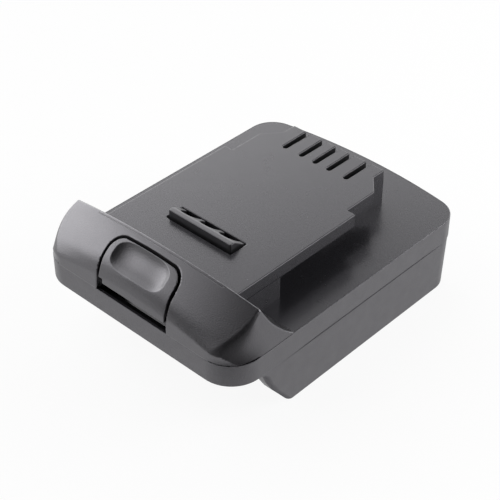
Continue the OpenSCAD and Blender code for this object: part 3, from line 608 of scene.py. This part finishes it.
# Band with its lip, front floor and the pads of the hood screws
band = Shape()
sweep(band, rounded([(0, Z_BAND), (2.2, Z_BAND), (2.2, Z_DECK - 0.05), (0.3, Z_DECK - 0.05), (0.3, Z_PART),
                     (0, Z_PART)], [0.25, 0.3, 0.2, 0.1, 0.1, 0.12]), outline())
plan, plan_n = outline(1.1)
front = plan[:, 1] < -38.0
floor_pts = np.concatenate((plan[front], [(HALF_W - 1.1, -37.0), (1.1 - HALF_W, -37.0)]))
floor_nos = np.concatenate((plan_n[front], [(0, 1), (0, 1)]))
holes = [rect((-9, 9), (-49.5, -44.3), 0.5)] + [circle(p, 3.0) for p in FLOOR_SCREWS]
prism(band, (floor_pts, floor_nos), holes, (Z_BAND + 0.2, Z_BAND + 2), (0, 0))
for p in FLOOR_SCREWS:
    prism(band, circle(p, 4.3), [circle(p, 1.65)], (20.8, 23.0), (0, 0.2))
    prism(band, circle(p, 4.3), [circle(p, 3.0)], (20.4, 20.8), (0, 0))
prism(band, rect((-13.4, 13.4), (-46.4, -45.4), 0.2), (), (20.6, 26.0), (0.2, 0.2))
make("band_frame", band, BAND, "housing", ("mid_frame",))
# Painted shade: a near-black sill of the band in the slot below the button, standing in for the shade there
shade_sill = prism(Shape(), rect((-13.8, 13.8), (-51.3, -48.4), 0.3), (), (23.0, 23.6), (0.15, 0.15))
make("slot_sill_shade_black", shade_sill, INSULATOR_AND_SHADE_BLACK, "housing", ("mid_frame",))


# Dock: leaning skirt with a slanted front end, ceiling and rails

SKIRT_IN, SKIRT_LEAN, SOCKET_IN, RAIL_X, RAIL_T = 0.2, 0.03, 5.0, 30.5, 4.0
FOOT_Y, FILLET_Y, END_R = -28.5, -43.1, 1.6
FRONT_Z = (0.0, 4.0, 7.8, 12.2, 15.2, 16.4, 17.4, 18.1, Z_BAND)
FRONT_Y = (FOOT_Y, -31.6, -34.6, -37.2, -38.5, -39.2, -40.4, -42.0, FILLET_Y)
SKIRT_Z = (18.45, 17.9, 17.8, 17.4, 16.9, 16.4, 15.8, 15.2, 14.2, 13.2, 12.2, 10.8, 9.3, 7.8, 5.9, 4.0, 2.2, 0.35)
SKIRT_STEPS, SOCKET_TOP, FOOT_R, SOCKET_R = 25, 17.5, 0.35, 0.4
# Seam under the band: depth, lowest height, middle and half length along Y
SEAM_DEPTH, SEAM_Z, SEAM_Y, SEAM_HALF = 0.8, 17.85, 6, 22


def skirt_row(z, inset, nose):
    """Plan points at one height from the right front end round the rear to the left front end.

    nose is 1 for a round front end and 0 for a square one."""
    yf = float(np.interp(z, FRONT_Z, FRONT_Y))
    sweep_a = math.degrees(math.atan2(REAR_C[1] - BOW_Y, REAR_C[0]))
    a = np.radians(np.linspace(-90, 0, 7))
    bend = np.column_stack((HALF_W - inset - nose * END_R * (1 - np.cos(a)), yf + END_R * (1 + np.sin(a))))
    bend_n = np.column_stack((np.cos(a), np.sin(a))) if nose else np.tile((1.0, 0.0), (7, 1))
    t = np.linspace(0, 1, SKIRT_STEPS)[1:]
    along = yf + END_R + t * (REAR_C[1] - yf - END_R)
    straight = np.column_stack((np.full(len(t), HALF_W - inset), along))
    right = np.concatenate((bend, straight))
    rn = np.concatenate((bend_n, np.tile((1.0, 0.0), (len(t), 1))))
    c, cn = arc(REAR_C, REAR_R - inset, 0, sweep_a, 13)
    b, bn = arc((0, BOW_Y), BOW_R - inset, sweep_a, 90, 17)
    pts, nos = np.concatenate((right, c[1:], b[1:])), np.concatenate((rn, cn[1:], bn[1:]))
    flip = np.array((-1, 1))
    return np.concatenate((pts, (pts * flip)[-2::-1])), np.concatenate((nos, (nos * flip)[-2::-1]))


def skirt_line(shape, z, inset, out, up, nose, groove=0.0):
    """Adds a row at one height whose normals point out and up by the given parts."""
    p, n = skirt_row(z, inset, nose)
    p = p - n * (groove * np.exp(-((p[:, 1] - SEAM_Y) / SEAM_HALF) ** 2))[:, None]
    return shape.row(np.column_stack((p, np.full(len(p), z))),
                     np.column_stack((n * out, np.full(len(p), up))))


dock = Shape()
foot_in = SKIRT_IN + SKIRT_LEAN * Z_BAND
lean_n = 1 / math.hypot(1, SKIRT_LEAN)
rows_out, rows_in, foot = [], [], []
for z in SKIRT_Z:
    rows_out.append(skirt_line(dock, z, SKIRT_IN + SKIRT_LEAN * (Z_BAND - z), lean_n, -SKIRT_LEAN * lean_n, 1.0,
                               SEAM_DEPTH if z > SEAM_Z else 0.0))
    rows_in.append(skirt_line(dock, min(z, SOCKET_TOP), SOCKET_IN, -1.0, 0.0, 0.0))
for a in np.radians(np.linspace(0, 90, 5)):
    c, s = math.cos(a), math.sin(a)
    foot.append(skirt_line(dock, FOOT_R * (1 - s), foot_in + FOOT_R * (1 - c), c, -s, 1.0))
for a in np.radians(np.linspace(90, 0, 5)):
    c, s = math.cos(a), math.sin(a)
    foot.append(skirt_line(dock, SOCKET_R * (1 - s), SOCKET_IN - SOCKET_R * (1 - c), -c, -s, 0.0))
chain = rows_out + foot + rows_in[::-1]
for a, b in zip(chain, chain[1:]):
    dock.strip(a, b, closed=False)
for end in (0, -1):
    ring = [row[end] for row in rows_out + foot[1:-1] + rows_in[::-1]]
    pts = [dock.co[i] for i in ring]
    heights = np.array([q[2] for q in pts])
    lean = np.interp(heights + 0.6, FRONT_Z, FRONT_Y) - np.interp(heights - 0.6, FRONT_Z, FRONT_Y)
    cap = dock.row(pts, np.stack((0 * lean, -1.2 + 0 * lean, lean), 1) / np.hypot(1.2, lean)[:, None])
    k = len(rows_out)
    for i in range(k - 1):
        dock.faces.append((cap[i], cap[i + 1], cap[-i - 2], cap[-i - 1]))
    dock.faces.append(tuple(cap[k - 1:len(cap) - k + 1]))
make("skirt", dock, SKIRT, "housing", ("dock",))

inside = Shape()
ceiling, ceiling_n = outline(SOCKET_IN - 0.6)
keep = ceiling[:, 1] > 0
rear = np.argsort(np.arctan2(ceiling[keep][:, 1] + 60, ceiling[keep][:, 0]))
ceil_pts = np.concatenate((ceiling[keep][rear], [(-35.6, -38.5), (35.6, -38.5)]))
ceil_nos = np.concatenate((ceiling_n[keep][rear], [(0, -1), (0, -1)]))
prism(inside, (ceil_pts, ceil_nos), [circle(p, 3.0) for p in DOCK_SCREWS], (Z_CEIL, Z_BAND - 0.05), (0, 0))
apron = rounded([(-42.9, 18.3), (-41.2, 17.2), (-39.4, 16.4), (-38.4, Z_CEIL), (-38.4, Z_BAND - 0.05),
                 (-42.9, Z_BAND - 0.05)], 0.1, 2)
prism(inside, apron, (), (-36.0, 36.0), (0, 0), across)
for p in DOCK_SCREWS:
    prism(inside, circle(p, 4.3), [circle(p, 3.0)], (Z_BAND - 0.1, 18.6), (0, 0))
    prism(inside, circle(p, 4.3), [circle(p, 1.65)], (18.6, 20.8), (0, 0.2))
for p in POSTS:
    prism(inside, circle(p, 2.0), (), (Z_BAND - 0.1, 34.5), (0, 0.5))
for p in BOARD_POSTS:
    prism(inside, circle(p, 2.5), (), (Z_BAND - 0.1, 22.0), (0, 0))
for sx in (-1, 1):
    slant = rounded([(-28.3, 0), (42.3, 0), (42.3, RAIL_T), (-30.8, RAIL_T)], [0.5, 0.3, 0.4, 0.5])
    prism(inside, slant, (), sorted((sx * RAIL_X, sx * 35.4)), (0.4, 0.4), across)
make("socket", inside, SKIRT, "housing", ("dock",))

# Latch: a bar with a ramp behind its flat strip, and three scooped pockets between four ribs
LY0, LY1, LZ0, LZ1, STRIP, POCKET_HALF, POCKET_R = -24.6, -18.9, 31.2, 40.2, 1.8, 3.1, 2.4
POCKET_PITCH = (25.0 - 1.6) / 3


def latch_head(x, y, z):
    drop, run = LZ1 - Z_PLATE, LY1 - LY0 - STRIP
    slope = ((y - LY0 - STRIP) * drop + (z - LZ1) * run) / math.hypot(drop, run)
    f = round_max(round_max(LY0 - y, z - LZ1, 0.3), slope, 0.3)
    f = round_max(f, np.abs(x) - 12.5, 0.3)
    f = np.maximum(np.maximum(f, y - LY1), 35.0 - z)
    for middle in (-POCKET_PITCH, 0.0, POCKET_PITCH):
        qx, qy = np.abs(x - middle) - POCKET_HALF + POCKET_R, LY0 + STRIP + 0.3 - y + POCKET_R
        scoop = np.hypot(np.maximum(qx, 0), np.maximum(qy, 0)) + np.minimum(np.maximum(qx, qy), 0) - POCKET_R
        f = round_max(f, -scoop, 0.12)
    return f


latch = level_set(latch_head, (-12.9, -25.0, 34.7), (12.9, -18.5, 40.6), 0.16)
prism(latch, rect((-12.5, 12.5), (LY0, LY1), 0.3), (), (LZ0, 35.2), (0.2, 0))
for sx in (-8.0, 8.0):
    prism(latch, circle((sx, -21.75), 1.5), (), (29.2, 31.4), (0.2, 0))
make("latch", latch, LATCH, "release", ("latch_bar",))

# Springs: drawn wire with closed end turns
TURNS, END_TURNS, COIL_R, WIRE_R = 7, 0.8, 3.0, 0.35
for side, p in zip(("left", "right"), POSTS):
    turns = np.linspace(0, TURNS, TURNS * 28 + 1)
    rise = np.clip((turns - END_TURNS) / (TURNS - 2 * END_TURNS), 0, 1)
    rise = smooth(rise) * 0.25 + rise * 0.75
    ends = np.minimum(turns, END_TURNS) + np.maximum(turns - TURNS + END_TURNS, 0)
    z = Z_BAND + WIRE_R + rise * 8.3 + ends * 0.9
    a = 2 * math.pi * turns
    line = np.stack((p[0] + COIL_R * np.cos(a), p[1] + COIL_R * np.sin(a), z), 1)
    spring = make("spring_" + side, tube(Shape(), line, WIRE_R), WIRE, "housing", ("latch_spring_" + side,))
    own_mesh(spring)

# Housing screws with a cross recess
screws = Shape()
for (x, y), face in [(p, 18.6) for p in DOCK_SCREWS] + [(p, 20.8) for p in FLOOR_SCREWS]:
    head = circle((x, y), 2.7, 36)
    cross = [(0.35, -1.5), (0.35, -0.35), (1.5, -0.35), (1.5, 0.35), (0.35, 0.35), (0.35, 1.5)]
    cross = rounded([(x + a, y + b) for a, b in cross + [(-a, -b) for a, b in cross]], 0.1, 2)
    prism(screws, head, [cross], (face - 2.0, face - 1.0), (0.6, 0))
    prism(screws, head, (), (face - 1.0, face), (0, 0))
    prism(screws, circle((x, y), 1.45, 24), (), (face, face + 6.0), (0, 0.6))
make("housing_screw_set", screws, STEEL, "housing", ("housing_screws",))

# CAD nodes that keep their shape
for mat, names in ((INSULATOR_AND_SHADE_BLACK, ("contact_carrier", "terminal_block")),
                   (TIN, ("clip_negative", "clip_signal_left", "clip_signal_middle", "clip_signal_right",
                          "clip_positive")),
                   (BRASS, ("blade_negative", "blade_signal_left", "blade_signal_right", "blade_positive")),
                   (BOARD, ("circuit_board",)), (EPOXY, ("power_switch", "control_chip")),
                   (LACQUER, ("id_resistor",)), (SLEEVE, ("capacitor",)),
                   (LEAD_BLACK, ("lead_negative",)), (LEAD_RED, ("lead_positive",)),
                   (STEEL, ("board_screws", "block_screws"))):
    for name in names:
        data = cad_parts[name].data
        data.materials.clear()
        data.materials.append(mat)

# Stage: helpers for its nodes, then the floor, the lamps and the surroundings

def math_node(tree, operation, a, b):
    """Joins two sockets, or a socket and a float."""
    node = tree.nodes.new("ShaderNodeMath")
    node.operation = operation
    for value, socket in zip((a, b), node.inputs):
        if isinstance(value, float):
            socket.default_value = value
        else:
            tree.links.new(value, socket)
    return node.outputs[0]


def toward(tree, source, direction, dark, bright, low=0.0):
    """1 where a vector's part along a direction reaches bright, low where it is at dark."""
    along = tree.nodes.new("ShaderNodeVectorMath")
    along.operation = "DOT_PRODUCT"
    along.inputs[1].default_value = direction
    tree.links.new(source, along.inputs[0])
    level = tree.nodes.new("ShaderNodeMapRange")
    level.interpolation_type = "SMOOTHSTEP"
    level.inputs["From Min"].default_value = min(dark, bright)
    level.inputs["From Max"].default_value = max(dark, bright)
    level.inputs["To Min"].default_value = low if dark < bright else 1.0
    level.inputs["To Max"].default_value = 1.0 if dark < bright else low
    tree.links.new(along.outputs["Value"], level.inputs["Value"])
    return level.outputs["Result"]


# White floor that keeps a soft shadow. In reflections it fades towards the camera's side, which is dark in the
# photograph too
FLOOR_SHARE, FLOOR_HALF = 0.92, 6
DARK_SIDE, FADE_FROM, FADE_TO, FADE_LOW = (0.62, -0.785, 0.0), 0.075, 0.115, 0.1
floor_mat = bpy.data.materials.new("floor_white")
floor_mat.use_nodes = True
f_tree = floor_mat.node_tree
f_shader = f_tree.nodes["Principled BSDF"]
f_shader.inputs["Base Color"].default_value = (0.92, 0.92, 0.92, 1)
f_shader.inputs["Roughness"].default_value = 0.9
f_shader.inputs["Specular IOR Level"].default_value = 0.1
path = f_tree.nodes.new("ShaderNodeLightPath")
seen = math_node(f_tree, "MAXIMUM", path.outputs["Is Camera Ray"], path.outputs["Is Glossy Ray"])
seen = math_node(f_tree, "MAXIMUM", seen, path.outputs["Is Transmission Ray"])
spot = f_tree.nodes.new("ShaderNodeNewGeometry")
fade = toward(f_tree, spot.outputs["Position"], DARK_SIDE, FADE_TO, FADE_FROM, FADE_LOW)
glow = f_tree.nodes.new("ShaderNodeEmission")
glow.inputs["Color"].default_value = (1, 1, 1, 1)
f_tree.links.new(math_node(f_tree, "MAXIMUM", path.outputs["Is Camera Ray"], fade), glow.inputs["Strength"])
blend = f_tree.nodes.new("ShaderNodeMixShader")
f_tree.links.new(math_node(f_tree, "MULTIPLY", seen, FLOOR_SHARE), blend.inputs[0])
f_tree.links.new(f_shader.outputs[0], blend.inputs[1])
f_tree.links.new(glow.outputs[0], blend.inputs[2])
f_tree.links.new(blend.outputs[0], f_tree.nodes["Material Output"].inputs["Surface"])
floor_mesh = bpy.data.meshes.new("floor")
corners = [(FLOOR_HALF * x, FLOOR_HALF * y, 0) for x, y in ((-1, -1), (1, -1), (1, 1), (-1, 1))]
floor_mesh.from_pydata(corners, [], [(0, 1, 2, 3)])
floor_mesh.materials.append(floor_mat)
floor = bpy.data.objects.new("floor", floor_mesh)
bpy.context.scene.collection.objects.link(floor)


def softbox(name, at, aim, size, power):
    lamp = bpy.data.lights.new(name, "AREA")
    lamp.shape, lamp.size, lamp.size_y, lamp.energy = "RECTANGLE", size[0], size[1], power
    obj = bpy.data.objects.new(name, lamp)
    obj.location = at
    obj.rotation_euler = (Vector(aim) - Vector(at)).to_track_quat("-Z", "Y").to_euler()
    bpy.context.scene.collection.objects.link(obj)


softbox("box_left", (-0.511, -0.295, 0.20), (0, -0.03, 0.03), (0.42, 0.54), 1.2)
softbox("box_right", (0.44, 0.42, 0.32), (0, 0, 0.03), (0.50, 0.36), 3.0)

# Studio surroundings: a low backdrop behind and a soft spread on the left, dim towards the front and the right
BACKDROP_LIGHT, SPREAD_LIGHT, BASE_LIGHT = 2.15, 1.4, 0.03
world = bpy.data.worlds.new("studio")
bpy.context.scene.world = world
world.use_nodes = True
w_tree = world.node_tree
heading = w_tree.nodes.new("ShaderNodeTexCoord").outputs["Generated"]
behind = toward(w_tree, heading, (-0.68, 0.73, 0.0), 0.35, 0.75)
low_down = toward(w_tree, heading, (0.0, 0.0, 1.0), 0.65, 0.57)
backdrop = math_node(w_tree, "MULTIPLY", math_node(w_tree, "MULTIPLY", behind, low_down), BACKDROP_LIGHT)
spread = math_node(w_tree, "MULTIPLY", toward(w_tree, heading, (-0.90, -0.20, 0.39), 0.48, 0.77), SPREAD_LIGHT)
sky = w_tree.nodes["Background"]
sky.inputs["Color"].default_value = (1, 1, 1, 1)
strength = math_node(w_tree, "ADD", math_node(w_tree, "ADD", backdrop, spread), BASE_LIGHT)
w_tree.links.new(strength, sky.inputs["Strength"])

# Camera solved from the photograph; its place is in millimetres
CAMERA_AT, FOCAL_PX, PICTURE_PX, SENSOR = (221.3, -238.7, 272.2), 1343.262, 500, 36.0
right = Vector((0.72883, 0.68470, -0.00029))
look = Vector((-0.53946, 0.57424, -0.61582))
up = right.cross(look)
cam = bpy.data.cameras.new("photo_camera")
cam.sensor_width, cam.lens = SENSOR, FOCAL_PX / PICTURE_PX * SENSOR
cam.clip_start, cam.clip_end = 0.01, 10
cam_obj = bpy.data.objects.new("photo_camera", cam)
turn = Matrix((right, up, -look)).transposed().to_4x4()
cam_obj.matrix_world = Matrix.Translation(Vector(CAMERA_AT) * MM) @ turn
bpy.context.scene.collection.objects.link(cam_obj)
bpy.context.scene.camera = cam_obj
bpy.context.scene.view_settings.view_transform = "Standard"

bpy.context.view_layer.update()
